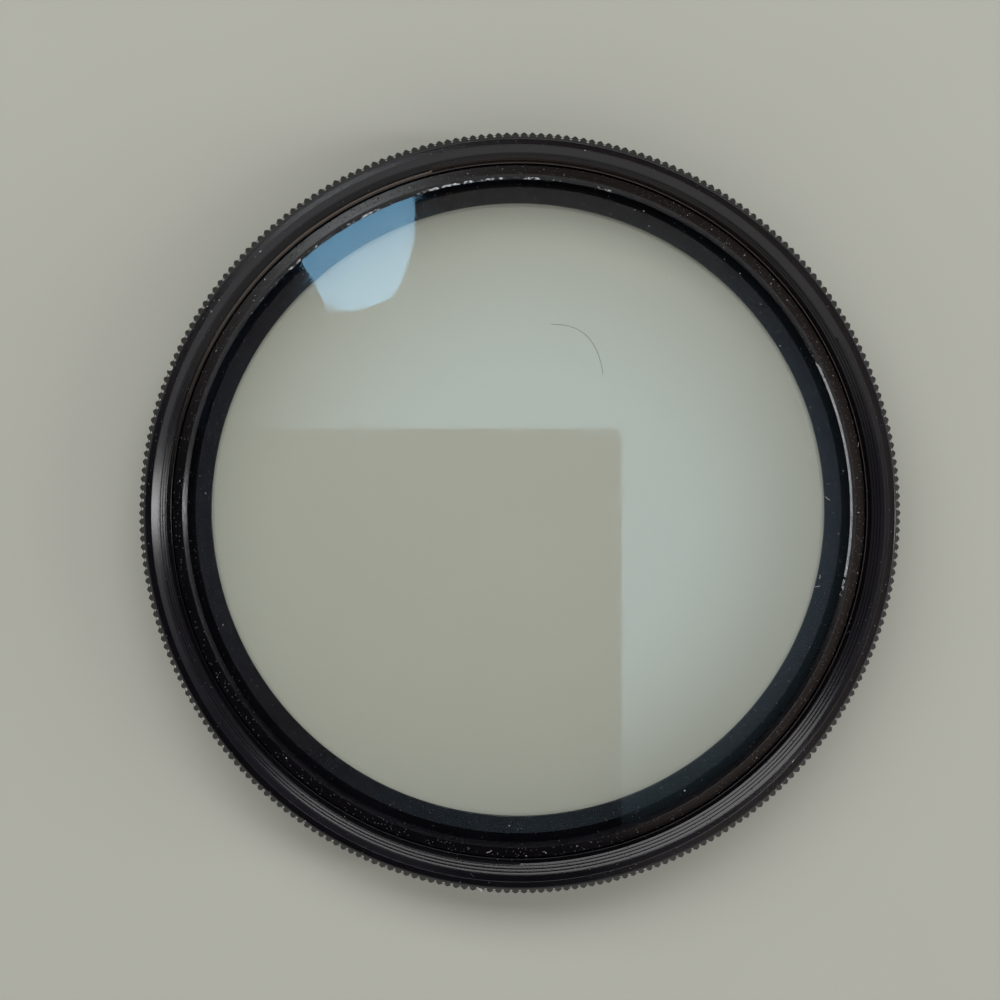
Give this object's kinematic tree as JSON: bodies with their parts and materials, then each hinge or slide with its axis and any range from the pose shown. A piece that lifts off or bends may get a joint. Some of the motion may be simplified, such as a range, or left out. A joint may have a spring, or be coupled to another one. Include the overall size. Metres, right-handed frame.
{
  "type": "uv filter",
  "caption": "Round screw-in UV filter for a camera lens: black knurled aluminium ring, flat coated glass, retaining ring.",
  "frame": {"origin": "centre of the rear end, the end of the male thread, on which the filter lies", "axes": "+Z along the optical axis, out of the front with the female thread; +X and +Y across the filter"},
  "size_m": [0.0604, 0.0604, 0.0058],
  "materials": {
    "black_anodised_ring": "satin black anodised, knurled rim",
    "coated_glass": "polished, blue-tinted coating",
    "black_anodised_retainer": "matte black anodised"
  },
  "bodies": {
    "root": {"filter_ring": "black_anodised_ring", "filter_glass": "coated_glass", "retaining_ring": "black_anodised_retainer"}
  },
  "joints": []
}
